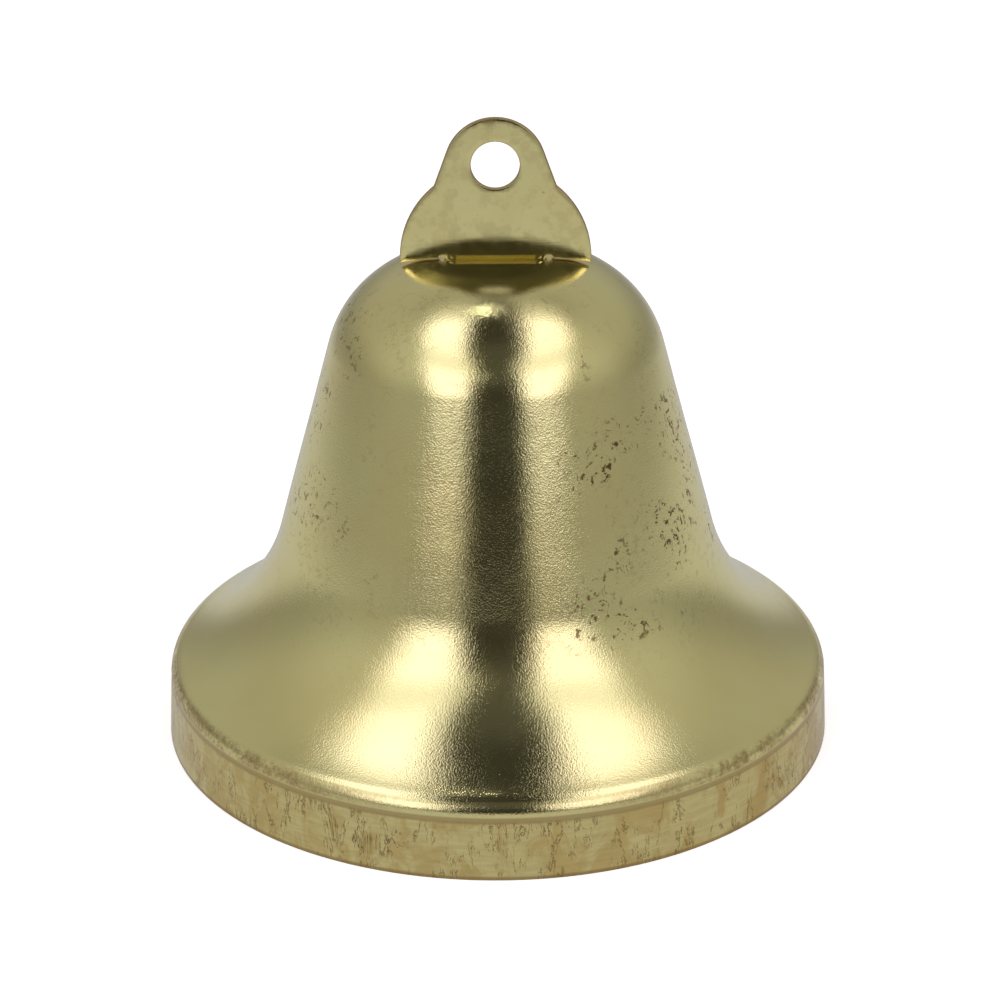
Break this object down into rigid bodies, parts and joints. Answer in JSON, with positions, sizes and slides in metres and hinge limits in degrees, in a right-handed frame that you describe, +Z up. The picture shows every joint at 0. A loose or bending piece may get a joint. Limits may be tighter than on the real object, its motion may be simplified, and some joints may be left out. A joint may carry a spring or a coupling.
{
  "type": "hanging bell",
  "caption": "Flared pressed-brass hanging bell with a flat sheet hanger ear through its crown and a ball clapper that swings on a wire link.",
  "frame": {"origin": "centre of the mouth, in the plane of the rim that the bell stands on", "axes": "+Z up along the bell's axis towards the hanger; the flat face of the hanger ear faces -Y; +X is to the right seen from the front"},
  "size_m": [0.075, 0.075, 0.0703],
  "materials": {
    "shell_brass": "satin pressed brass with a fine grain and light tarnish",
    "hanger_brass": "satin rolled brass sheet with browned cut edges",
    "ball_brass": "turned brass with fine tool rings",
    "clapper_steel": "zinc-plated drawn wire"
  },
  "bodies": {
    "bell": {"bell_shell": "shell_brass", "hanger_bracket": "hanger_brass"},
    "link": {"clapper_link": "clapper_steel"},
    "clapper": {"clapper_rod": "clapper_steel", "clapper_ball": "ball_brass"}
  },
  "joints": [
    {"name": "link_swing", "type": "hinge", "parent": "bell", "child": "link", "pos_m": [0, 0, 0.04735], "axis": [1, 0, 0], "range_deg": [-6, 6]},
    {"name": "clapper_swing", "type": "hinge", "parent": "link", "child": "clapper", "pos_m": [0, 0, 0.0423], "axis": [0, 1, 0], "range_deg": [-37, 37]}
  ]
}
